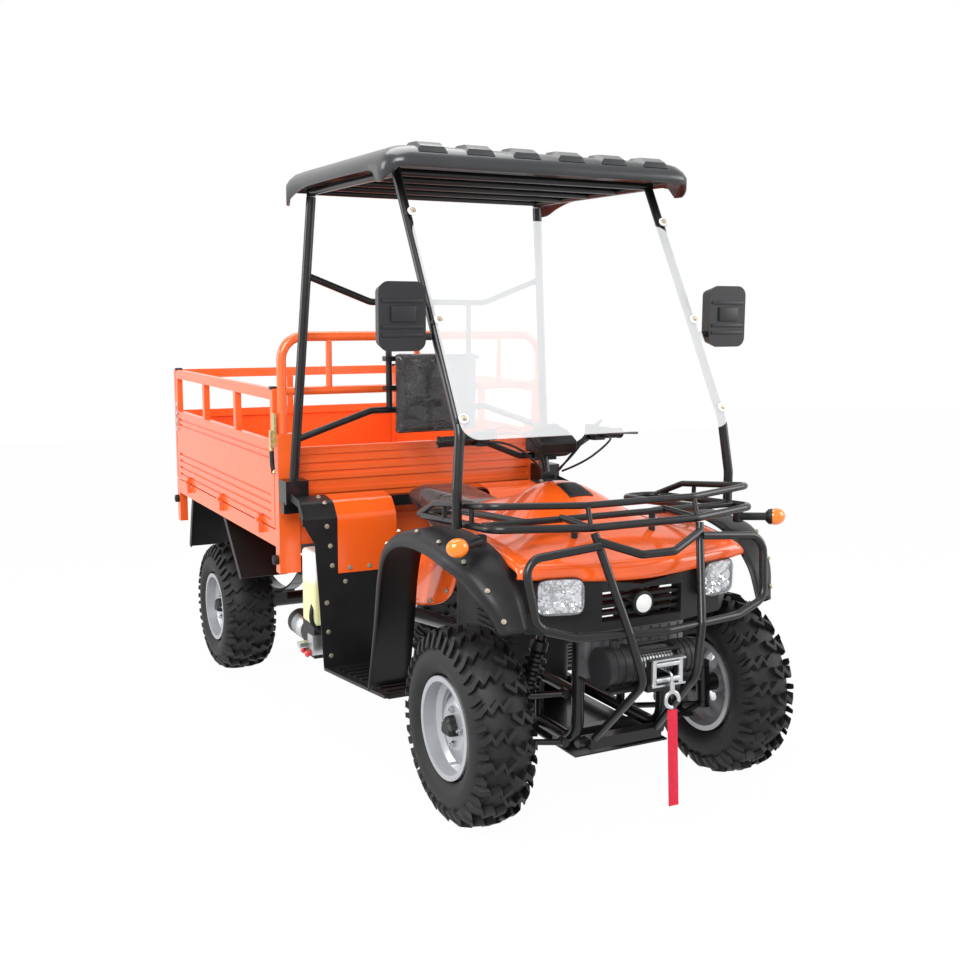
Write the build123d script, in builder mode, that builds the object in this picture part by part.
"""Farm quad with a tipping drop-side bed, a canopy with a clear screen and a front winch.

Everything is drawn level, in millimetres, with the front axle at Y = 0, the ground under the front
wheels at Z = 0, the nose towards -Y and the vehicle's right side at -X.  At the end the whole vehicle
is leaned nose-down onto its four wheels and its origin is moved under the middle of its box.
"""

import math
import os

from build123d import *

# Wheels and stance
tyre_radius = 317.5
bead_radius = 152.0
rim_flange_radius = 164.0
rim_flange_thickness = 8.0
rim_wall = 5.0
tyre_wall = 14.0
front_tyre_width = 205.0
rear_tyre_width = 250.0
front_wheel_x = 497.5
rear_wheel_x = 521.0
front_rim_half = 87.5
rear_rim_half = 111.0
wheelbase = 2506.0
rear_axle_drop = 171.5
hub_radius = 42.0
hub_length = 70.0
hub_recess = 38.0
axle_stub_radius = 20.0
running_gap = 0.3
touch_gap = 0.5

front_axle_z = tyre_radius
rear_axle_z = front_axle_z - rear_axle_drop
stance = math.degrees(math.atan2(rear_axle_drop, wheelbase))
lean = math.radians(stance)
upright = (0, math.sin(lean), math.cos(lean))

# Frame
rail_x = 165.0
rail_z = 240.0
rail_diameter = 42.0
top_rail_z = 690.0
top_rail_diameter = 34.0
frame_front_y = -120.0
kick_up_y = 1100.0
chassis_x = 240.0
chassis_width = 50.0
chassis_height = 80.0
chassis_z = 470.0
chassis_front_y = 1330.0
chassis_rear_y = wheelbase + 504.0
chassis_top = chassis_z + chassis_height / 2
chassis_bottom = chassis_z - chassis_height / 2
rail_bend = 70.0
cross_tube = 36.0
rest_pads = (1600.0, 2250.0)
rest_gap = 5.0
cradle_size = 40.0
hitch_bore_radius = 12.5
hitch_plate = 16.0
hitch_reach = 90.0

# Running gear
kingpin_x = 430.0
kingpin_half = 60.0
kingpin_pin_radius = 9.0
kingpin_boss_radius = 24.0
arm_eye_height = 22.0
arm_tube = 20.0
arm_carrier = 36.0
arm_spread = 100.0
arm_bush_radius = 15.0
upper_arm_z = 402.0
shock_foot = (322.0, 0.0, 276.0)
shock_tail = 18.0
shock_head = (215.0, 0.0, 628.0)
spring_x = 310.0
spring_half = 430.0
spring_width = 60.0
spring_thick = 24.0
axle_tube_radius = 35.0
diff_radius = 108.0

# Engine block
engine_half_width = 138.0
engine_front_y = 400.0
engine_rear_y = 830.0
engine_top = 610.0

# Bed
bed_half = 635.0
bed_front_y = 1490.0
bed_rear_y = wheelbase + 674.0
deck_top = 702.0
deck_thick = 8.0
sill_bottom = 632.0
sill_width = 40.0
longeron_bottom = 590.0
hinge_y = wheelbase + 444.0
hinge_z = 545.0
hinge_pin_radius = 10.0
gate_thick = 28.0
gate_bottom = 708.0
gate_panel_top = 1070.0
gate_rail_bottom = 1241.0
gate_top = 1287.0
gate_gap = 8.0
gate_hinge_out = 13.0
gate_hinge_z = 704.0
gate_hinge_radius = 9.0
gate_pin_radius = 5.0
slat_width = 34.0
headboard_front_y = 1440.0
headboard_top = 1045.0
post_width = 90.0
post_bottom = 525.0
hoop_tube = 40.0
hoop_top = 1520.0
leg_bottom = 477.0
stop_radius = 18.0
stop_z = 596.0
hinge_table = (bed_front_y + 202.0, (bed_front_y + bed_rear_y) / 2 - 32.0, bed_rear_y - 272.0)
tail_hinges = (-450.0, 0.0, 450.0)

# Tipping ram
ram_base = (0.0, 1700.0, 392.0)
ram_eye = (0.0, 2300.0, 570.0)
ram_pin_radius = 12.0

# Canopy
a_pillar_tube = 32.0
b_pillar_tube = 38.0
roof_half = 600.0
roof_front_y = 350.0
roof_rear_y = 1450.0
roof_top = 2150.0
roof_skirt = 80.0
roof_wall = 6.0
canopy_z = 2045.0
screen_thick = 4.0

# Body panels
panel = 5.0
hood_half = 430.0
fender_out = 600.0
footwell_y = 1180.0
cover_inner_x = 225.0
cover_split_x = 480.0
flare_out = 625.0
cover_split_z = 565.0
board_front = (560.0, 245.0)
board_rear = (1180.0, 178.0)
board_out = 545.0
board_thick = 12.0
board_slope = (board_rear[1] - board_front[1]) / (board_rear[0] - board_front[0])

# Front furniture
bar_tube = 26.0
rack_tube = 25.0
rack_upper_tube = 22.0
winch_y = -270.0
winch_z = 530.0
winch_half = 185.0
lamp_x = 299.0
lamp_z = 756.0
lamp_width = 150.0
lamp_height = 115.0

pieces = {}


def add(name, builder):
    """Keep a finished piece under its node name."""
    builder.part.label = name
    pieces[name] = builder.part


def tube(points, diameter, bend=0.0):
    """Round bar along straight runs with tangent bends, added to the open part."""
    with BuildLine() as path:
        if len(points) > 2:
            FilletPolyline(*points, radius=bend)
        else:
            Line(*points)
    with BuildSketch(Plane(origin=path.line @ 0, z_dir=path.line % 0)) as section:
        Circle(diameter / 2)
    sweep(section.sketch, path=path.line)


def block(low, high, mode=Mode.ADD):
    """Square-cornered block between two corners, added to the open part."""
    middle = [(a + b) / 2 for a, b in zip(low, high)]
    with BuildSketch(Plane(origin=(middle[0], middle[1], low[2]))) as base:
        Rectangle(high[0] - low[0], high[1] - low[1])
    extrude(base.sketch, amount=high[2] - low[2], mode=mode)


def round_bar(start, end, radius, mode=Mode.ADD):
    """Cylinder from one point to another, added to or cut from the open part."""
    direction = Vector(*end) - Vector(*start)
    with BuildSketch(Plane(origin=start, z_dir=direction)) as section:
        Circle(radius)
    extrude(section.sketch, amount=direction.length, mode=mode)


def sheet_side(points, thickness, bend, x_low, x_high):
    """Bent sheet that follows a line in the side view, from one X to another."""
    with BuildSketch(Plane.YZ.offset(x_low)) as section:
        with BuildLine():
            FilletPolyline(*points, radius=bend)
        trace(line_width=thickness)
    extrude(section.sketch, amount=x_high - x_low)


def outline(plane, points, depth, mode=Mode.ADD, bend=0.0, both=False):
    """Prism on a closed outline, with all its corners rounded where a bend is given."""
    with BuildSketch(plane) as section:
        with BuildLine():
            if bend:
                FilletPolyline(*points, radius=bend, close=True)
            else:
                Polyline(*points, close=True)
        make_face()
    extrude(section.sketch, amount=depth, both=both, mode=mode)


def mirrored(points):
    """The same points on the other side of the vehicle."""
    return [(-x, y, z) for x, y, z in points]


# Wheels: a hollow tyre on a dished steel rim whose hub runs on the axle stub
def make_tyre(name, x, y, z, width, rim_half):
    """Tyre carcass out to the tips of its lugs."""
    half = width / 2
    bead = rim_half - rim_flange_thickness - running_gap
    wide_r = tyre_radius - 80
    shoulder = (half - 20, tyre_radius - 15)
    flange_r = rim_flange_radius + 4
    sidewall = (bead + 0.75 * (half - bead), (flange_r + wide_r) / 2 - 6)
    inner_bead = bead - tyre_wall
    with BuildPart() as tyre:
        with BuildSketch(Plane(origin=(x, y, z), x_dir=(1, 0, 0), z_dir=(0, 0, 1))):
            with BuildLine():
                Line((-bead, bead_radius), (-bead, flange_r))
                ThreePointArc((-bead, flange_r), (-sidewall[0], sidewall[1]), (-half, wide_r))
                ThreePointArc((-half, wide_r), (3 - half, tyre_radius - 42), (-shoulder[0], shoulder[1]))
                ThreePointArc((-shoulder[0], shoulder[1]), (0, tyre_radius), shoulder)
                ThreePointArc(shoulder, (half - 3, tyre_radius - 42), (half, wide_r))
                ThreePointArc((half, wide_r), sidewall, (bead, flange_r))
                Line((bead, flange_r), (bead, bead_radius))
                Line((bead, bead_radius), (-bead, bead_radius))
            make_face()
            with BuildLine():
                Polyline(
                    (-inner_bead, bead_radius - 1),
                    (-inner_bead, flange_r),
                    (tyre_wall - half, wide_r),
                    (2.4 * tyre_wall - half, tyre_radius - 2.2 * tyre_wall),
                    (half - 2.4 * tyre_wall, tyre_radius - 2.2 * tyre_wall),
                    (half - tyre_wall, wide_r),
                    (inner_bead, flange_r),
                    (inner_bead, bead_radius - 1),
                    close=True,
                )
            make_face(mode=Mode.SUBTRACT)
        revolve(axis=Axis((x, y, z), (1, 0, 0)))
    add(name, tyre)


def make_rim(name, side, x, y, z, rim_half):
    """Dished rim with four slots and a hub that is open on its inner side."""
    flange = rim_flange_radius
    seat = bead_radius - running_gap
    well = seat - 18
    out = side * rim_half
    edge = side * (rim_half - rim_flange_thickness)
    seat_end = side * (rim_half - 45)
    well_end = side * (rim_half - 58)
    hub_face = side * (rim_half - hub_recess)
    hub_inner = side * (rim_half - hub_recess - hub_length)
    disc = side * (rim_half - hub_recess - 34)
    skin = side * rim_wall
    with BuildPart() as rim:
        with BuildSketch(Plane(origin=(x, y, z), x_dir=(1, 0, 0), z_dir=(0, 0, 1))):
            with BuildLine():
                Polyline(
                    (out, flange), (edge, flange), (edge, seat), (seat_end, seat), (well_end, well),
                    (-well_end, well), (-seat_end, seat), (-edge, seat), (-edge, flange), (-out, flange),
                    (-out, seat - rim_wall), (-seat_end, seat - rim_wall), (-well_end, well - rim_wall),
                    (well_end, well - rim_wall), (seat_end, seat - rim_wall), (out, seat - rim_wall),
                    close=True,
                )
            make_face()
            with BuildLine():
                Polyline(
                    (disc, well - 1), (disc, 118), (hub_face - skin, 72), (hub_face - skin, hub_radius - 1),
                    (hub_inner, hub_radius - 1), (hub_inner, 0), (hub_face, 0), (hub_face, 74),
                    (disc + skin, 121), (disc + skin, well - 1),
                    close=True,
                )
            make_face()
        revolve(axis=Axis((x, y, z), (1, 0, 0)))
        with BuildSketch(Plane(origin=(x + hub_face, y, z), z_dir=(side, 0, 0))):
            with PolarLocations(98, 4, start_angle=45):
                SlotOverall(66, 20, rotation=90)
        extrude(amount=80, both=True, mode=Mode.SUBTRACT)
        round_bar(
            (x + hub_inner, y, z),
            (x + hub_inner + side * (hub_length - 14), y, z),
            axle_stub_radius + running_gap,
            Mode.SUBTRACT,
        )
    add(name, rim)


wheel_table = (
    # name, side, centre x, y, z, tyre width, half rim width
    ("front_right", -1, front_wheel_x, 0.0, front_axle_z, front_tyre_width, front_rim_half),
    ("front_left", 1, front_wheel_x, 0.0, front_axle_z, front_tyre_width, front_rim_half),
    ("rear_right", -1, rear_wheel_x, wheelbase, rear_axle_z, rear_tyre_width, rear_rim_half),
    ("rear_left", 1, rear_wheel_x, wheelbase, rear_axle_z, rear_tyre_width, rear_rim_half),
)
for place_name, side, wheel_x, wheel_y, wheel_z, width, rim_half in wheel_table:
    make_tyre("tyre_" + place_name, side * wheel_x, wheel_y, wheel_z, width, rim_half)
    make_rim("rim_" + place_name, side, side * wheel_x, wheel_y, wheel_z, rim_half)


# Front knuckles: a kingpin boss with a pin at each end, the axle stub and a steering arm
def stub_end(wheel_x, rim_half):
    """How far out from the middle the axle stub reaches into its hub."""
    return wheel_x + rim_half - hub_recess - 14 - touch_gap


def make_knuckle(name, side):
    """Knuckle that turns about its upright kingpin."""
    centre = Vector(side * kingpin_x, 0, front_axle_z)
    pin = Vector(*upright)
    hub_inner = front_wheel_x + front_rim_half - hub_recess - hub_length
    tip = centre + pin * (kingpin_half + arm_eye_height)
    tail = centre - pin * (kingpin_half + arm_eye_height)
    with BuildPart() as knuckle:
        round_bar((centre - pin * kingpin_half), (centre + pin * kingpin_half),
                  kingpin_boss_radius)
        round_bar(tail, tip, kingpin_pin_radius)
        round_bar((side * kingpin_x, 0, front_axle_z),
                  (side * stub_end(front_wheel_x, front_rim_half), 0, front_axle_z), axle_stub_radius)
        round_bar((side * kingpin_x, 0, front_axle_z),
                  (side * (hub_inner - 1), 0, front_axle_z), axle_stub_radius + 12)
        tube(((side * kingpin_x, 0, front_axle_z - 30), (side * (kingpin_x - 30), 110, front_axle_z - 30)), 22)
    add(name, knuckle)


make_knuckle("knuckle_right", -1)
make_knuckle("knuckle_left", 1)

# Line of the dampers
shock_line = Vector(*shock_head) - Vector(*shock_foot)
shock_up = shock_line.normalized()

# Wishbones: two legs from the frame to an eye round each end of the kingpin
with BuildPart() as front_arms:
    for end, inner_z, carrier in ((-1, rail_z, rail_diameter), (1, upper_arm_z, arm_carrier)):
        pin = Vector(*upright)
        centre = Vector(kingpin_x, 0, front_axle_z)
        eye_start = centre + pin * (end * (kingpin_half + 2))
        eye_end = centre + pin * (end * (kingpin_half + arm_eye_height))
        eye_middle = (eye_start + eye_end) * 0.5
        round_bar(eye_start, eye_end, kingpin_boss_radius - 1)
        for fore in (-1, 1):
            bush_x = rail_x + carrier / 2 + arm_bush_radius + running_gap
            round_bar((bush_x, fore * (arm_spread - 18), inner_z), (bush_x, fore * (arm_spread + 9), inner_z),
                      arm_bush_radius)
            tube(((bush_x, fore * arm_spread, inner_z),
                  (kingpin_x - kingpin_pin_radius - 8, eye_middle.Y, eye_middle.Z)), arm_tube)
        round_bar((eye_start - pin * (end * 3)), (eye_end + pin * (end * 3)),
                  kingpin_pin_radius + running_gap, Mode.SUBTRACT)
    block((shock_foot[0] - 16, -70, rail_z - 6), (shock_foot[0] + 16, 70, rail_z + 6))
    lug_top = Vector(*shock_foot) - shock_up * (shock_tail + running_gap)
    round_bar(lug_top - shock_up * 22, lug_top, 11)
    mirror(about=Plane.YZ)
add("front_arms", front_arms)

# Coil-over dampers between the lower wishbones and the frame
with BuildPart() as front_shocks:
    with BuildSketch(Plane(origin=shock_foot, x_dir=(0, 1, 0), z_dir=(shock_up.Z, 0, -shock_up.X))):
        with BuildLine():
            coil_points = [(0, -shock_tail), (20, -shock_tail), (20, 40)]
            coil_pitch = 30
            for turn in range(7):
                rise = 44 + turn * coil_pitch
                coil_points += [(38, rise + 4), (38, rise + 14), (22, rise + 18), (22, rise + 26)]
            coil_points += [(30, 262), (30, 290), (18, 296), (18, shock_line.length), (0, shock_line.length)]
            Polyline(*[(-x, y) for x, y in coil_points], close=True)
        make_face()
    revolve(axis=Axis(shock_foot, shock_up))
    mirror(about=Plane.YZ)
add("front_shocks", front_shocks)

# Rear axle with its differential, spring seats and the torque tube to the engine
spring_low = rear_axle_z + axle_tube_radius + 15
spring_high = chassis_bottom - 40
with BuildPart() as rear_axle:
    rear_stub = stub_end(rear_wheel_x, rear_rim_half)
    hub_inner = rear_wheel_x + rear_rim_half - hub_recess - hub_length
    round_bar((-rear_stub, wheelbase, rear_axle_z), (rear_stub, wheelbase, rear_axle_z), axle_stub_radius)
    round_bar((1 - hub_inner, wheelbase, rear_axle_z), (hub_inner - 1, wheelbase, rear_axle_z), axle_tube_radius)
    round_bar((-70, wheelbase, rear_axle_z), (70, wheelbase, rear_axle_z), diff_radius)
    for side in (-1, 1):
        block((side * spring_x - 40, wheelbase - 45, rear_axle_z),
              (side * spring_x + 40, wheelbase + 45, spring_low))
    tube(((0, engine_rear_y, 345), (0, wheelbase - 40, rear_axle_z + 10)), 60)
    block((-120, engine_rear_y - 80, 250), (120, engine_rear_y, 560), Mode.SUBTRACT)
add("rear_axle", rear_axle)

# Leaf packs from hanger to hanger, seated on the axle
with BuildPart() as leaf_springs:
    for leaf, reach in ((0, 1.0), (1, 0.72), (2, 0.45)):
        leaf_thick = spring_thick / 3
        base = spring_low + (2 - leaf) * leaf_thick
        rise = (spring_high - spring_low - spring_thick) * reach * reach
        with BuildSketch(Plane.YZ.offset(spring_x - spring_width / 2)):
            with BuildLine():
                low_arc = ThreePointArc(
                    (wheelbase - spring_half * reach, base + rise),
                    (wheelbase, base),
                    (wheelbase + spring_half * reach, base + rise),
                )
                Line(low_arc @ 1, (low_arc @ 1) + Vector(0, leaf_thick))
                ThreePointArc(
                    (wheelbase + spring_half * reach, base + rise + leaf_thick),
                    (wheelbase, base + leaf_thick),
                    (wheelbase - spring_half * reach, base + rise + leaf_thick),
                )
                Line((wheelbase - spring_half * reach, base + rise + leaf_thick), low_arc @ 0)
            make_face()
        extrude(amount=spring_width)
    for end in (-1, 1):
        eye_y = wheelbase + end * spring_half
        block((spring_x - spring_width / 2, eye_y - 22, spring_high - 22),
              (spring_x + spring_width / 2, eye_y + 22, spring_high))
    mirror(about=Plane.YZ)
add("leaf_springs", leaf_springs)

# Frame: two tube loops under the rider, two box rails under the bed, hangers, hitch and skid plate
with BuildPart() as frame:
    tube(((rail_x, frame_front_y, top_rail_z + 6), (rail_x, frame_front_y, rail_z), (rail_x, kick_up_y, rail_z),
          (chassis_x, chassis_front_y, chassis_z), (chassis_x, chassis_front_y + 100, chassis_z)),
         rail_diameter, rail_bend)
    tube(((rail_x, frame_front_y, top_rail_z), (rail_x, 900, top_rail_z), (rail_x, 1120, top_rail_z - 110),
          (chassis_x, chassis_front_y + 60, chassis_z)), top_rail_diameter, rail_bend)
    block((chassis_x - chassis_width / 2, chassis_front_y, chassis_bottom),
          (chassis_x + chassis_width / 2, chassis_rear_y, chassis_top))
    for end in (-1, 1):
        eye_y = wheelbase + end * spring_half
        block((chassis_x - chassis_width / 2, eye_y - 25, spring_high),
              (spring_x + spring_width / 2, eye_y + 25, chassis_bottom + 20))
    for ear_x in (chassis_x - 24, chassis_x + 24):
        with BuildSketch(Plane.YZ.offset(ear_x - 4)):
            with Locations((hinge_y, hinge_z)):
                Circle(28)
            with Locations((hinge_y, (hinge_z + chassis_top - 10) / 2)):
                Rectangle(56, hinge_z - chassis_top + 10)
            with Locations((hinge_y, hinge_z)):
                Circle(hinge_pin_radius + running_gap, mode=Mode.SUBTRACT)
        extrude(amount=8)
    mirror(about=Plane.YZ)
    for cross_y, cross_z in ((frame_front_y, top_rail_z), (frame_front_y, rail_z)):
        tube(((-rail_x, cross_y, cross_z), (rail_x, cross_y, cross_z)), cross_tube)
    block((6 - rail_x, 866, top_rail_z - 9), (rail_x - 6, 894, top_rail_z + top_rail_diameter / 2))
    for cradle_y in (engine_front_y + 60, engine_rear_y - 60):
        block((-rail_x, cradle_y - cradle_size / 2, rail_z - cradle_size / 2),
              (rail_x, cradle_y + cradle_size / 2, rail_z + cradle_size / 2))
    for cross_y in (chassis_front_y + 50, ram_base[1] - 60, chassis_rear_y - 30):
        block((-chassis_x, cross_y - 20, chassis_z - 30), (chassis_x, cross_y + 20, chassis_z + 30))
    for side in (-1, 1):
        tube(((side * rail_x, frame_front_y, upper_arm_z), (side * rail_x, arm_spread + 40, upper_arm_z)),
             arm_carrier)
        for pad_y in rest_pads:
            block((side * chassis_x - 18, pad_y - 30, chassis_top - 2),
                  (side * chassis_x + 18, pad_y + 30, longeron_bottom - rest_gap))
        tube(((side * rail_x, arm_spread + 20, upper_arm_z), (side * rail_x, arm_spread + 20, rail_z)), 30)
        tube(((side * rail_x, 0, top_rail_z), (side * shock_head[0], 0, shock_head[2] + 26)), 30)
    block((-70, chassis_rear_y - 20, chassis_z - 30), (70, chassis_rear_y + hitch_reach, chassis_z - 30 + hitch_plate))
    round_bar((0, chassis_rear_y + hitch_reach - 40, chassis_z - 60),
              (0, chassis_rear_y + hitch_reach - 40, chassis_z + 30), hitch_bore_radius, Mode.SUBTRACT)
    block((-rail_x - 15, frame_front_y - 15, rail_z - 44), (rail_x + 15, 560, rail_z - 38))
    for skid_y in (0.0, 450.0):
        block((-rail_x - 10, skid_y - 15, rail_z - 40), (rail_x + 10, skid_y + 15, rail_z))
    for side in (-1, 1):
        for support_y in (board_front[0] + 70, board_rear[0] - 90):
            under = board_front[1] + board_slope * (support_y + 12 - board_front[0])
            under -= board_thick / 2 / math.cos(math.atan(board_slope)) + running_gap
            low_x = min(side * rail_x, side * (board_out - 40))
            high_x = max(side * rail_x, side * (board_out - 40))
            block((low_x, support_y - 12, under - 16), (high_x, support_y + 12, under))
            block((side * rail_x - 12, support_y - 12, under - 16), (side * rail_x + 12, support_y + 12, rail_z))
        ear_x = side * 33
        with BuildSketch(Plane.YZ.offset(ear_x - 5)):
            with Locations((ram_base[1], ram_base[2])):
                Circle(26)
            with Locations((ram_base[1] - 35, ram_base[2] + 25)):
                Rectangle(70, 102)
            with Locations((ram_base[1], ram_base[2])):
                Circle(ram_pin_radius + running_gap, mode=Mode.SUBTRACT)
        extrude(amount=10)
add("frame", frame)

# Engine: a plain block that stands on the cradle
with BuildPart() as engine:
    block((-engine_half_width, engine_front_y, rail_z + cradle_size / 2),
          (engine_half_width, engine_rear_y, engine_top))
    fillet(engine.edges().filter_by(Axis.Z), radius=40)
add("engine", engine)

# Bull bar: two uprights that sweep back to the frame, one loop round both lamps and a dipped bar
upright_points = ((-198, -249, 949), (-135, -357, 653), (-98, -385, 500), (-120, frame_front_y - 18, rail_z))
loop_points = ((-190, -272, 912), (-449, -262, 889), (-425, -302, 690), (-300, -325, 653), (0, -362, 648))
with BuildPart() as bull_bar:
    for points in (upright_points, mirrored(upright_points)):
        tube(points, bar_tube, 60)
    loop_mirror = mirrored(loop_points)[:-1]
    tube(list(loop_points) + loop_mirror[::-1], bar_tube, 55)
    tube(((-193, -262, 925), (-60, -306, 880), (60, -306, 880), (193, -262, 925)), bar_tube, 40)
    block((-138, frame_front_y - 40, rail_z - 18), (138, frame_front_y - 4, rail_z + 18))
    round_bar((-rail_x, frame_front_y, rail_z), (rail_x, frame_front_y, rail_z),
              cross_tube / 2 + running_gap, Mode.SUBTRACT)
add("bull_bar", bull_bar)

# Front rack: a lower frame, a raised rail and legs down to the frame
rack_lower = ((-335, -60, 961), (-335, 395, 930), (-490, 395, 930), (-495, -149, 965), (-200, -235, 962))
rack_upper = ((-488, 380, 934), (-497, 240, 990), (-500, -125, 1032), (-200, -212, 1028))
leg_x = 150.0
leg_y = -60.0
with BuildPart() as front_rack:
    for points, diameter in ((rack_lower, rack_tube), (rack_upper, rack_upper_tube)):
        tube(list(points) + mirrored(points)[::-1], diameter, 60)
    for x in (-200, 200):
        tube(((x, -235, 962), (x, leg_y, 966)), rack_upper_tube)
        tube(((x, -235, 962), (x, -212, 1028)), 16)
    for x in (-497, 497):
        tube(((x, -20, 957), (x, -20, 1022)), 16)
        tube(((x, 170, 945), (x, 170, 998)), 16)
    tube(((-480, leg_y, 961), (480, leg_y, 961)), rack_upper_tube)
    for x in (-leg_x, leg_x):
        tube(((x, leg_y, 961), (x, leg_y, top_rail_z + 40)), rack_upper_tube)
        block((x - 20, leg_y - 20, top_rail_z + top_rail_diameter / 2), (x + 20, leg_y + 20, top_rail_z + 42))
add("front_rack", front_rack)

# Steering stem line
stem_foot = Vector(0, 318, 790)
stem_head = Vector(0, 392, 1098)
stem_axis = (stem_head - stem_foot).normalized()
stem_start = 262.0

# Hood: a side view, an arched front view and a bowed plan meet in one form
hood_side = ((-245, 776), (-245, 790), (-120, 880), (60, 985), (179, 1046), (320, 1052), (440, 985),
             (700, 905), (700, 755), (-100, 755))
hood_edge = ((hood_half, 852), (225, 819), (120, 786), (0, 768), (-120, 786), (-225, 819), (-hood_half, 852))
hood_arch = ((-hood_half, 893), (-300, 914), (-190, 936), (-112, 1010), (-75, 1052), (75, 1052), (112, 1010),
             (190, 936), (300, 914), (hood_half, 893)) + hood_edge
hood_plan = ((-hood_half, -95), (-230, -205), (0, -242), (230, -205), (hood_half, -95), (hood_half, 260),
             (250, 420), (200, 712), (-200, 712), (-250, 420), (-hood_half, 260))
skirt_x = 400.0
with BuildPart() as hood:
    outline(Plane.YZ, hood_side, hood_half, both=True)
    outline(Plane.XZ, hood_arch, 1500, Mode.INTERSECT, both=True)
    outline(Plane.XY, hood_plan, 2400, Mode.INTERSECT, both=True)
    for x in (-leg_x, leg_x):
        round_bar((x, leg_y, 700), (x, leg_y, 1100), rack_upper_tube / 2 + 4, Mode.SUBTRACT)
    round_bar(stem_foot + stem_axis * 190, stem_foot + stem_axis * (stem_start - touch_gap), 30)
    for side in (-1, 1):
        block((side * rail_x - 20, 100, top_rail_z + top_rail_diameter / 2), (side * rail_x + 20, 140, 800))
        outline(Plane.YZ.offset(side * skirt_x - panel / 2),
                ((230, 868), (300, 640), (660, 545), (660, 770), (430, 868)), panel)
add("hood", hood)

# Fascia: bowed black front with lamp pockets and an open grille of slats
fascia_top = [(x, z - running_gap) for x, z in hood_edge]
fascia_view = [(-448, 715), (-372, 632), (372, 632), (448, 715)] + fascia_top
fascia_plan = ((-450, -95), (-340, -180), (-150, -228), (150, -228), (340, -180), (450, -95), (450, -60),
               (320, -130), (150, -175), (-150, -175), (-320, -130), (-450, -60))
grille_half = 150.0
with BuildPart() as front_fascia:
    outline(Plane.XZ, fascia_view, 600, both=True)
    outline(Plane.XY, fascia_plan, 2000, Mode.INTERSECT, both=True)
    for x in (-lamp_x, lamp_x):
        block((x - lamp_width / 2 - touch_gap, -300, lamp_z - lamp_height / 2 - touch_gap),
              (x + lamp_width / 2 + touch_gap, 0, lamp_z + lamp_height / 2 + touch_gap), Mode.SUBTRACT)
    block((-grille_half, -300, 660), (grille_half, 0, 755), Mode.SUBTRACT)
    for slat_z in (682.0, 706.0, 730.0):
        block((-grille_half - 2, -215, slat_z - 5), (grille_half + 2, -180, slat_z + 5))
    round_bar((0, -232, 706), (0, -180, 706), 34)
add("front_fascia", front_fascia)

# Headlamps seated in the fascia's pockets
lamp_turn = 15.0
with BuildPart() as headlamps:
    for side in (-1, 1):
        block((side * lamp_x - lamp_width / 2, -232, lamp_z - lamp_height / 2),
              (side * lamp_x + lamp_width / 2, -100, lamp_z + lamp_height / 2))
    fillet(headlamps.edges().filter_by(Axis.Y), radius=18)
    for side in (-1, 1):
        with BuildSketch(Plane(origin=(side * lamp_x, -222, lamp_z),
                               x_dir=(math.cos(math.radians(lamp_turn)), side * math.sin(math.radians(lamp_turn)), 0),
                               z_dir=(side * math.sin(math.radians(lamp_turn)), -math.cos(math.radians(lamp_turn)), 0))):
            Rectangle(lamp_width * 1.3, lamp_height * 1.3)
        extrude(amount=120, mode=Mode.SUBTRACT)
add("headlamps", headlamps)

# Front fenders: black arches with a rolled lip and a flap behind each wheel
fender_line = ((-262, 690), (-195, 800), (-70, 882), (150, 908), (330, 892), (478, 800), (520, 700), (598, 292))
with BuildPart() as front_fenders:
    sheet_side(fender_line, panel, 50, hood_half + touch_gap, fender_out)
    sheet_side(fender_line, 34, 50, fender_out - panel, fender_out)
    block((hood_half - 60, 596, 286), (fender_out, 640, 300))
    mirror(about=Plane.YZ)
add("front_fenders", front_fenders)

# Rear covers: orange walls beside the saddle
cover_line = ((footwell_y, cover_split_z), (footwell_y, 790), (1225, 850), (1318, 862))
with BuildPart() as side_covers:
    sheet_side(cover_line, panel, 40, cover_inner_x, cover_split_x)
    mirror(about=Plane.YZ)
add("side_covers", side_covers)

# Leg shields: black flares outside the covers, the wall below and the ribbed footboards
with BuildPart() as leg_shields:
    sheet_side(((footwell_y, 765),) + cover_line[1:], panel, 40, cover_split_x, flare_out)
    sheet_side(cover_line[1:], 30, 20, flare_out - panel, flare_out)
    outline(Plane.XZ.offset(-footwell_y - panel / 2),
            ((cover_inner_x, 182), (board_out, 182), (562, 480), (576, 690), (flare_out, 778), (flare_out, 790),
             (cover_split_x, 790), (cover_split_x, cover_split_z - 3), (cover_inner_x, cover_split_z - 3)), panel)
    sheet_side((board_front, ((board_front[0] + board_rear[0]) / 2, (board_front[1] + board_rear[1]) / 2 - 1),
                board_rear), board_thick, 200, cover_inner_x, board_out)
    for rib in range(9):
        rib_y = board_front[0] + 60 + rib * 60
        rib_z = board_front[1] + board_slope * (rib_y - board_front[0])
        block((cover_inner_x + 20, rib_y - 8, rib_z), (board_out - 30, rib_y + 8, rib_z + 12))
    mirror(about=Plane.YZ)
add("leg_shields", leg_shields)

# Saddle and backrest pads
saddle_low = top_rail_z + top_rail_diameter / 2 + running_gap
with BuildPart() as saddle:
    outline(Plane.YZ, ((722, saddle_low), (722, 862), (860, 880), (1180, 892), (1272, 898), (1272, 800),
                       (1060, saddle_low)), 165, bend=18, both=True)
    fillet(saddle.faces().sort_by(Axis.X)[-1].edges() + saddle.faces().sort_by(Axis.X)[0].edges(), radius=14)
add("saddle", saddle)

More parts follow.
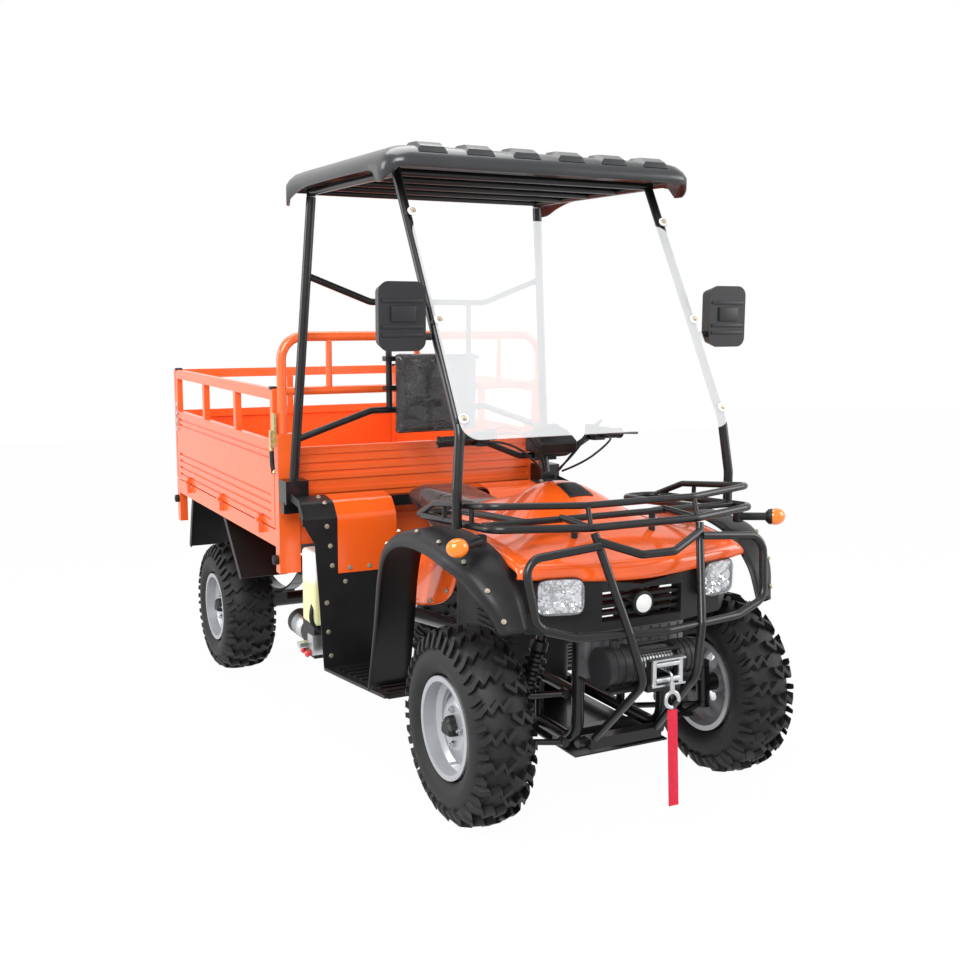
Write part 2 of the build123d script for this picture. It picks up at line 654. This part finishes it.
backrest_half = 205.0
backrest_low = 1085.0
backrest_high = 1450.0
backrest_front_y = 1240.0
backrest_back_y = 1300.0
with BuildPart() as backrest:
    with BuildSketch(Plane.XZ.offset(-backrest_back_y)):
        with Locations((0, (backrest_low + backrest_high) / 2)):
            RectangleRounded(2 * backrest_half, backrest_high - backrest_low, 50)
    extrude(amount=backrest_back_y - backrest_front_y)
    fillet(backrest.edges().filter_by(lambda edge: edge.length > 40), radius=16)
add("backrest", backrest)

# Rear hoop: raked pillars in square sockets on a cross beam, two dipped bars and the backrest posts
socket_x = 592.0
beam_y = 1375.0
beam_low = 790.0
beam_high = 835.0
socket_high = 925.0
hoop_top_point = (-512, 1335, canopy_z)
upper_bar = ((-523, 1344, 1738), (-262, 1344, 1640), (262, 1344, 1640), (523, 1344, 1738))
lower_bar = ((-575, 1366, 1090), (-266, 1335, 1198), (266, 1335, 1198), (575, 1366, 1090))
with BuildPart() as rear_hoop:
    block((-socket_x - 50, beam_y - 22, beam_low), (socket_x + 50, beam_y + 22, beam_high))
    for side in (-1, 1):
        block((side * socket_x - 48, beam_y - 45, beam_low + 40), (side * socket_x + 48, beam_y + 45, socket_high))
        tube(((side * socket_x, beam_y, socket_high - 20), (-side * hoop_top_point[0], *hoop_top_point[1:])),
             b_pillar_tube)
        tube(((side * 185, 1342, 1640), (side * 185, 1335, 1198)), 26)
        block((side * 185 - 30, backrest_back_y, 1280), (side * 185 + 30, 1334, 1300))
        block((side * 185 - 30, backrest_back_y, 1400), (side * 185 + 30, 1336, 1420))
        block((side * chassis_x - 20, beam_y - 20, chassis_top), (side * chassis_x + 20, beam_y + 20, beam_low + 1))
    for points in (upper_bar, lower_bar):
        tube(points, 28, 60)
add("rear_hoop", rear_hoop)

# Canopy frame: bent front pillars, side bars and slats under the roof
canopy_bar_z = canopy_z + 20
pillar_bend = Vector(0, 40, 1240)
pillar_top = Vector(0, 515, canopy_bar_z)
pillar_x = 508.0
pillar_foot_x = 500 + rack_upper_tube / 2 + a_pillar_tube / 2 + touch_gap
pillar = ((-pillar_foot_x, 20, 945), (-pillar_foot_x, 20, 1060), (-pillar_x, pillar_bend.Y, pillar_bend.Z),
          (-pillar_x, pillar_top.Y, pillar_top.Z))
screen_up = (pillar_top - pillar_bend).normalized()
screen_low = pillar_bend - screen_up * 40
screen_normal = Vector(0, -screen_up.Z, screen_up.Y)
screen_stand = 26.0
clamp_table = (1268.0, 1567.0, 1915.0)
canopy_bars = (515.0, 720.0, 925.0, 1130.0, 1335.0)
canopy_tube = 26.0
with BuildPart() as canopy_frame:
    for points in (pillar, mirrored(pillar)):
        tube(points, a_pillar_tube, 90)
    for side in (-1, 1):
        tube(((side * pillar_x, 500, canopy_bar_z), (side * 512, 1350, canopy_bar_z)), 30)
        round_bar((side * 512, 1335, canopy_z + 2), (side * 512, 1335, canopy_bar_z), 18)
        for clamp_z in clamp_table:
            reach = (clamp_z - pillar_bend.Z) / (pillar_top.Z - pillar_bend.Z)
            clamp = pillar_bend + (pillar_top - pillar_bend) * reach
            clamp = Vector(side * pillar_x, clamp.Y, clamp.Z)
            round_bar(clamp, clamp + screen_normal * screen_stand, 13)
    for bar_y in canopy_bars:
        tube(((-pillar_x, bar_y, canopy_bar_z), (pillar_x, bar_y, canopy_bar_z)), canopy_tube)
add("canopy_frame", canopy_frame)

# Roof: a moulded tray, open below, with six pockets along its front edge
with BuildPart() as roof:
    with BuildSketch(Plane.XY.offset(roof_top - roof_skirt)):
        with Locations((0, (roof_front_y + roof_rear_y) / 2)):
            RectangleRounded(2 * roof_half, roof_rear_y - roof_front_y, 70)
    extrude(amount=roof_skirt, taper=12)
    fillet(roof.faces().sort_by(Axis.Z)[-1].edges(), radius=26)
    offset(amount=-roof_wall, openings=roof.faces().sort_by(Axis.Z)[0])
    for slot in range(6):
        x = (slot - 2.5) * 165
        block((x - 55, roof_front_y + 60, roof_top - 2), (x + 55, roof_front_y + 330, roof_top + 9))
    for side in (-1, 1):
        for low_y, high_y, drop in ((roof_front_y + 45, roof_front_y + 190, 60), (roof_rear_y - 190, roof_rear_y - 45, 60)):
            outline(Plane.YZ.offset(side * (roof_half - 4) - 3),
                    ((low_y, roof_top - roof_skirt + 6), (high_y, roof_top - roof_skirt + 6),
                     ((low_y + high_y) / 2, roof_top - roof_skirt - drop)), 6)
    for bar_y in canopy_bars[1::2]:
        block((-480, bar_y - 12, canopy_bar_z + canopy_tube / 2 + running_gap),
              (480, bar_y + 12, roof_top - roof_wall + 1))
add("roof", roof)

# Windscreen: one clear sheet held off the front pillars
screen_half = 515.0
screen_height = 800.0
with BuildPart() as windscreen:
    start = screen_low + screen_normal * screen_stand
    with BuildSketch(Plane(origin=start, x_dir=(1, 0, 0), z_dir=screen_normal)):
        with Locations((0, screen_height / 2)):
            RectangleRounded(2 * screen_half, screen_height, 60)
    extrude(amount=screen_thick)
add("windscreen", windscreen)

# Mirrors on short arms
with BuildPart() as mirrors:
    with BuildSketch(Plane.XZ.offset(-185)):
        with Locations((634, 1592)):
            RectangleRounded(160, 215, 34)
    extrude(amount=-70, taper=14)
    fillet(mirrors.faces().sort_by(Axis.Y)[-1].edges(), radius=14)
    tube(((pillar_x + a_pillar_tube / 2 + 2, 207, 1528), (565, 212, 1530), (600, 220, 1545)), 22, 12)
    mirror(about=Plane.YZ)
add("mirrors", mirrors)

# Indicators on stalks under the rack's corners
with BuildPart() as indicators:
    round_bar((494, -80, 920), (580, -128, 920), 10)
    block((484, -90, 905), (504, -70, 947))
    with BuildSketch(Plane(origin=(605, -114, 920), z_dir=(0, -1, 0))):
        Ellipse(42, 32)
    extrude(amount=52)
    fillet(indicators.faces().sort_by(Axis.Y)[0].edges(), radius=12)
    mirror(about=Plane.YZ)
add("indicators", indicators)

# Winch on its tray, the roller fairlead, the hook and its pull strap
tray_z = winch_z - 72
with BuildPart() as winch:
    round_bar((-winch_half, winch_y, winch_z), (-75, winch_y, winch_z), 62)
    round_bar((-76, winch_y, winch_z), (80, winch_y, winch_z), 42)
    round_bar((76, winch_y, winch_z), (winch_half - 12, winch_y, winch_z), 54)
    block((-winch_half + 10, -322, tray_z), (winch_half - 20, frame_front_y - rail_diameter / 2, tray_z + 8))
    block((-62, -350, tray_z), (62, -320, tray_z + 8))
    for low_x, high_x in ((-winch_half + 20, -85), (85, winch_half - 25)):
        block((low_x, winch_y - 30, tray_z), (high_x, winch_y + 30, winch_z - 40))
    block((-62, -353, tray_z), (62, -345, winch_z + 30))
    block((-40, -360, winch_z - 30), (40, -340, winch_z + 12), Mode.SUBTRACT)
add("winch", winch)

with BuildPart() as fairlead:
    for z in (winch_z - 48, winch_z + 32):
        block((-62, -378, z - 3), (62, -353, z + 3))
    for z in (winch_z - 34, winch_z + 16):
        round_bar((-44, -366, z), (44, -366, z), 9)
    for x in (-50, 50):
        round_bar((x, -366, winch_z - 47), (x, -366, winch_z + 31), 9)
add("fairlead", fairlead)

hang = Vector(0, -math.sin(lean), -math.cos(lean))
hook_top = Vector(0, -392, 486)
hook_radius = 24.0
hook_bar = 13.0
hook_eye = hook_top + hang * 46
strap_width = 36.0
strap_thick = 4.0
strap_length = 300.0
strap_top = hook_eye + hang * (hook_radius + hook_bar / 2 + touch_gap)
with BuildPart() as winch_hook:
    tube(((0, -312.1, winch_z - 8), (0, -390, winch_z - 9), hook_top), 8, 12)
    round_bar((hook_top - hang * 8), (hook_top + hang * 24), 9)
    bend_plane = Plane(origin=hook_eye, x_dir=(1, 0, 0), z_dir=(0, -hang.Z, hang.Y))
    with BuildLine(bend_plane) as hook_line:
        CenterArc((0, 0), hook_radius, 90, 290)
    with BuildSketch(Plane(origin=hook_line.line @ 0, z_dir=hook_line.line % 0)):
        Circle(hook_bar / 2)
    sweep(path=hook_line.line)
add("winch_hook", winch_hook)

with BuildPart() as hook_strap:
    with BuildSketch(Plane(origin=strap_top, x_dir=(1, 0, 0), z_dir=hang)):
        Rectangle(strap_width, strap_thick)
    extrude(amount=strap_length)
add("hook_strap", hook_strap)

# Oil cooler in front of the frame
with BuildPart() as oil_cooler:
    block((-185, -196, 476), (185, -152, 632))
    for fin in range(10):
        x = -162 + fin * 36
        block((x - 6, -200, 490), (x + 6, -192, 618), Mode.SUBTRACT)
    for x in (-rail_x, rail_x):
        block((x - 12, -154, 500), (x + 12, frame_front_y - rail_diameter / 2 - running_gap, 530))
add("oil_cooler", oil_cooler)

# Hydraulic unit for the bed on the right-hand side
tank_x = (-556.0, -456.0)
tank_y = (1265.0, 1405.0)
tank_z = (330.0, 640.0)
with BuildPart() as hydraulic_tank:
    block((tank_x[0], tank_y[0], tank_z[0]), (tank_x[1], tank_y[1], tank_z[1]))
    fillet(hydraulic_tank.edges(), radius=18)
    round_bar((-480, 1350, tank_z[1] - 1), (-480, 1350, tank_z[1] + 22), 24)
add("hydraulic_tank", hydraulic_tank)

with BuildPart() as pump_motor:
    block((-545, 1290, 190), (-425, 1425, tank_z[0]))
    round_bar((-485, 1424, 262), (-485, 1640, 262), 56)
    round_bar((-485, 1640, 262), (-485, 1655, 262), 40)
    block((tank_x[1], 1330, 440), (-chassis_x - chassis_width / 2, 1400, 500))
    block((tank_x[1], 1330, 300), (tank_x[1] + 14, 1400, 460))
add("pump_motor", pump_motor)

# Steering: raked stem, swept bar with grips and levers, and the instrument pod
bar_points = ((-372, 470, 1160), (-235, 432, 1166), (-95, 396, 1106), (95, 396, 1106), (235, 432, 1166),
              (372, 470, 1160))
with BuildPart() as handlebar:
    round_bar(stem_foot + stem_axis * stem_start, stem_head, 17)
    tube(bar_points, 22, 45)
    block((-45, 376, 1088), (45, 412, 1122))
    for side in (-1, 1):
        grip_line = (Vector(side * 372, 470, 1160) - Vector(side * 235, 432, 1166)).normalized()
        grip_end = Vector(side * 374, 470.5, 1160)
        round_bar((grip_end - grip_line * 118), grip_end, 17)
        block((side * 240 - 22, 395, 1146), (side * 240 + 22, 440, 1190))
        tube(((side * 240, 400, 1172), (side * 300, 384, 1172), (side * 412, 408, 1164)), 11, 40)
add("handlebar", handlebar)

with BuildPart() as instrument_pod:
    outline(Plane.YZ, ((285, 1122), (275, 1160), (345, 1200), (400, 1192), (400, 1122)), 72, bend=10, both=True)
    fillet(instrument_pod.edges().filter_by(lambda edge: edge.length > 20), radius=8)
add("instrument_pod", instrument_pod)

# Bed: deck with sills, longerons, cross members, hinge lugs, rear legs and rubber stops
lug_half = 12.0
bed_cross_y = (bed_front_y + 70.0, 1950.0, 2300.0, bed_rear_y - 540.0)
with BuildPart() as bed_floor:
    block((-bed_half, bed_front_y, deck_top - deck_thick), (bed_half, bed_rear_y, deck_top))
    for side in (-1, 1):
        edge_low = min(side * bed_half, side * (bed_half - sill_width))
        block((edge_low, bed_front_y, sill_bottom), (edge_low + sill_width, bed_rear_y, deck_top - 1))
        beam = side * chassis_x
        block((beam - chassis_width / 2, bed_front_y, longeron_bottom),
              (beam + chassis_width / 2, bed_rear_y - 20, deck_top - 1))
        block((beam - lug_half, hinge_y - 30, hinge_z), (beam + lug_half, hinge_y + 30, longeron_bottom + 1))
        round_bar((beam - lug_half, hinge_y, hinge_z), (beam + lug_half, hinge_y, hinge_z), 26)
        round_bar((beam - 36, hinge_y, hinge_z), (beam + 36, hinge_y, hinge_z), hinge_pin_radius)
        block((edge_low, bed_rear_y - 50, leg_bottom), (edge_low + sill_width, bed_rear_y, sill_bottom + 1))
        block((side * 40 - 8, ram_eye[1] - 30, ram_eye[2] - 30), (side * 40 + 8, ram_eye[1] + 30, deck_top - 1))
        round_bar((side * (bed_half - 2), bed_rear_y - 25, stop_z), (side * (bed_half + 18), bed_rear_y - 25, stop_z),
                  stop_radius)
    for cross_y in bed_cross_y:
        block((-bed_half + 10, cross_y - 20, 642), (bed_half - 10, cross_y + 20, deck_top - 1))
    block((-bed_half, bed_rear_y - 20, sill_bottom), (bed_half, bed_rear_y, deck_top - 1))
    block((-bed_half, bed_front_y, sill_bottom), (bed_half, bed_front_y + 20, deck_top - 1))
    for hinge_at in hinge_table:
        for side in (-1, 1):
            knuckle_x = side * (bed_half + gate_hinge_out)
            inner_x = side * (bed_half - 4)
            block((min(inner_x, knuckle_x), hinge_at - 34, 664), (max(inner_x, knuckle_x), hinge_at - 14, 688))
            block((knuckle_x - gate_hinge_radius, hinge_at - 34, 664),
                  (knuckle_x + gate_hinge_radius, hinge_at - 14, gate_hinge_z))
            round_bar((knuckle_x, hinge_at - 34, gate_hinge_z), (knuckle_x, hinge_at - 14, gate_hinge_z),
                      gate_hinge_radius)
            round_bar((knuckle_x, hinge_at - 30, gate_hinge_z), (knuckle_x, hinge_at + 14, gate_hinge_z),
                      gate_pin_radius)
    for hinge_at in tail_hinges:
        knuckle_y = bed_rear_y + gate_hinge_out
        block((hinge_at + 14, bed_rear_y - 4, 664), (hinge_at + 34, knuckle_y, 688))
        block((hinge_at + 14, knuckle_y - gate_hinge_radius, 664),
              (hinge_at + 34, knuckle_y + gate_hinge_radius, gate_hinge_z))
        round_bar((hinge_at + 14, knuckle_y, gate_hinge_z), (hinge_at + 34, knuckle_y, gate_hinge_z),
                  gate_hinge_radius)
        round_bar((hinge_at - 14, knuckle_y, gate_hinge_z), (hinge_at + 30, knuckle_y, gate_hinge_z),
                  gate_pin_radius)
add("bed_floor", bed_floor)

# Headboard: corner posts, ribbed panel and the tall hoop with its bars
hoop_line = ((-605, 1464, 1040), (-605, 1464, hoop_top - 20), (605, 1464, hoop_top - 20), (605, 1464, 1040))
rib_rise = 9.0
with BuildPart() as headboard:
    for side in (-1, 1):
        low_x = min(side * bed_half, side * (bed_half - post_width))
        block((low_x, headboard_front_y, post_bottom), (low_x + post_width, bed_front_y, headboard_top + 60))
    block((1 - bed_half, headboard_front_y + 14, 640), (bed_half - 1, bed_front_y - 14, headboard_top))
    for rib_z in (735.0, 860.0, 918.0, 954.0, 990.0, 1025.0):
        block((post_width - bed_half, headboard_front_y + 14 - rib_rise, rib_z - 9),
              (bed_half - post_width, bed_front_y - 14 + rib_rise, rib_z + 9))
    tube(hoop_line, hoop_tube, 95)
    tube(((-605, 1464, 1278), (605, 1464, 1278)), 34)
    for x in (-400, 0, 400):
        tube(((x, 1464, 1278), (x, 1464, hoop_top - 20)), 26)
add("headboard", headboard)

# Mudguards: flaps hung under the sills in front of and behind the rear wheels
with BuildPart() as mudguards:
    for line in (((wheelbase - 196, sill_bottom), (wheelbase - 266, 560), (wheelbase - 446, 378)),
                 ((wheelbase + 394, sill_bottom), (wheelbase + 419, 560), (wheelbase + 479, 364))):
        sheet_side(line, panel, 30, 400, bed_half - sill_width + 30)
        sheet_side(line, 30, 30, bed_half - sill_width + 24, bed_half - sill_width + 30)
    block((380, wheelbase - 506, sill_bottom), (bed_half, wheelbase + 494, sill_bottom + 60), Mode.SUBTRACT)
    mirror(about=Plane.YZ)
add("mudguards", mudguards)


# Gates: ribbed lower panel with three hinge knuckles, and a top rail on slats
def gate_bars(length):
    """Front view of the rail and the slats over a gate's panel, as boxes along its length."""
    half = length / 2
    boxes = [(-half, gate_rail_bottom, half, gate_top)]
    slats = max(2, round(length / 540))
    for number in range(slats + 1):
        left = -half + number * (length - slat_width) / slats
        boxes.append((left, gate_panel_top + running_gap, left + slat_width, gate_rail_bottom - running_gap))
    return boxes


side_gate_front = bed_front_y + gate_gap
side_gate_length = bed_rear_y - gate_thick - gate_gap - side_gate_front
tail_gate_length = 2 * bed_half
rib_rows = (740.0, 775.0, 810.0, 845.0, 1000.0, 1028.0)


def make_gate(name, plane, length, hinge_at):
    """Gate on a plane whose normal points outwards, X along its length and Y up."""
    with BuildPart() as rails:
        for low_u, low_v, high_u, high_v in gate_bars(length):
            with BuildSketch(plane):
                with Locations(((low_u + high_u) / 2, (low_v + high_v) / 2)):
                    Rectangle(high_u - low_u, high_v - low_v)
            extrude(amount=-gate_thick)
    add(name + "_rails", rails)
    with BuildPart() as gate:
        with BuildSketch(plane):
            with Locations((0, (gate_bottom + gate_panel_top) / 2)):
                Rectangle(length, gate_panel_top - gate_bottom)
        extrude(amount=-gate_thick)
        for row in rib_rows:
            with BuildSketch(plane):
                with Locations((0, row)):
                    Rectangle(length - 90, 12)
            extrude(amount=-7, mode=Mode.SUBTRACT)
        with BuildSketch(plane.offset(-gate_thick)):
            with Locations((0, (gate_bottom + gate_panel_top) / 2)):
                Rectangle(length - 80, gate_panel_top - gate_bottom - 80)
        extrude(amount=gate_thick - 16, mode=Mode.SUBTRACT)
        for along in hinge_at:
            with BuildSketch(plane.offset(-4)):
                with Locations((along, gate_bottom + 17)):
                    Rectangle(20, 30)
            extrude(amount=4 + gate_hinge_out)
            ear = Plane(origin=plane.from_local_coords((along - 10, gate_hinge_z, gate_hinge_out)),
                        x_dir=plane.z_dir, z_dir=plane.x_dir)
            with BuildSketch(ear):
                Circle(gate_hinge_radius)
                with Locations((0, -10 if ear.y_dir.Z < 0 else 10)):
                    Rectangle(2 * gate_hinge_radius, 20)
                Circle(gate_pin_radius + running_gap, mode=Mode.SUBTRACT)
            extrude(amount=20)
    add(name, gate)


gate_mid = side_gate_front + side_gate_length / 2
side_hinges = [y - gate_mid for y in hinge_table]
make_gate("gate_right", Plane(origin=(-bed_half, gate_mid, 0), x_dir=(0, -1, 0), z_dir=(-1, 0, 0)),
          side_gate_length, [-along for along in side_hinges])
make_gate("gate_left", Plane(origin=(bed_half, gate_mid, 0), x_dir=(0, 1, 0), z_dir=(1, 0, 0)),
          side_gate_length, side_hinges)
make_gate("tailgate", Plane(origin=(0, bed_rear_y, 0), x_dir=(-1, 0, 0), z_dir=(0, 1, 0)),
          tail_gate_length, tail_hinges)

# Over-centre latches on the headboard's corner posts
with BuildPart() as gate_latches:
    block((bed_half + 0.3, 1450, 1060), (bed_half + 10, 1484, 1190))
    block((bed_half + 8, 1456, 1050), (bed_half + 24, 1478, 1120))
    tube(((bed_half + 16, 1467, 1062), (bed_half + 20, 1467, 1010), (bed_half + 16, 1450, 945)), 16, 40)
    mirror(about=Plane.YZ)
add("gate_latches", gate_latches)

# Tipping ram: barrel on the chassis cross member, rod with its eye between the bed's ears
ram_line = Vector(*ram_eye) - Vector(*ram_base)
ram_dir = ram_line.normalized()
barrel_length = 500.0
rod_radius = 18.0
rod_length = 520.0
with BuildPart() as cylinder_barrel:
    foot = Vector(*ram_base)
    round_bar(foot + ram_dir * 34, foot + ram_dir * barrel_length, 34)
    round_bar(foot, foot + ram_dir * 36, 22)
    round_bar((-24, *ram_base[1:]), (24, *ram_base[1:]), 28)
    round_bar((-40, *ram_base[1:]), (40, *ram_base[1:]), ram_pin_radius)
    round_bar((foot + ram_dir * 60), (foot + ram_dir * (barrel_length + 1)),
              rod_radius + running_gap, Mode.SUBTRACT)
add("cylinder_barrel", cylinder_barrel)

with BuildPart() as cylinder_rod:
    head = Vector(*ram_eye)
    round_bar((head - ram_dir * rod_length), (head - ram_dir * 10), rod_radius)
    round_bar((-22, *ram_eye[1:]), (22, *ram_eye[1:]), 26)
    round_bar((-30, *ram_eye[1:]), (30, *ram_eye[1:]), 11, Mode.SUBTRACT)
add("cylinder_rod", cylinder_rod)

# Lean the vehicle onto its wheels, put the origin under the middle of its box and write every piece
leaned = Pos(0, 0, front_axle_z) * Rot(X=stance) * Pos(0, 0, -front_axle_z)
boxes = [(leaned * part).bounding_box() for name, part in pieces.items() if name != "hook_strap"]
front_end = min(box.min.Y for box in boxes)
rear_end = max(box.max.Y for box in boxes)
origin_y = (front_end + rear_end) / 2
print("stance", stance, "origin_y", origin_y, "length", rear_end - front_end)

os.makedirs("parts", exist_ok=True)
for name, part in pieces.items():
    placed = Pos(0, -origin_y, 0) * leaned * part
    placed.label = name
    export_step(placed, "parts/" + name + ".step")
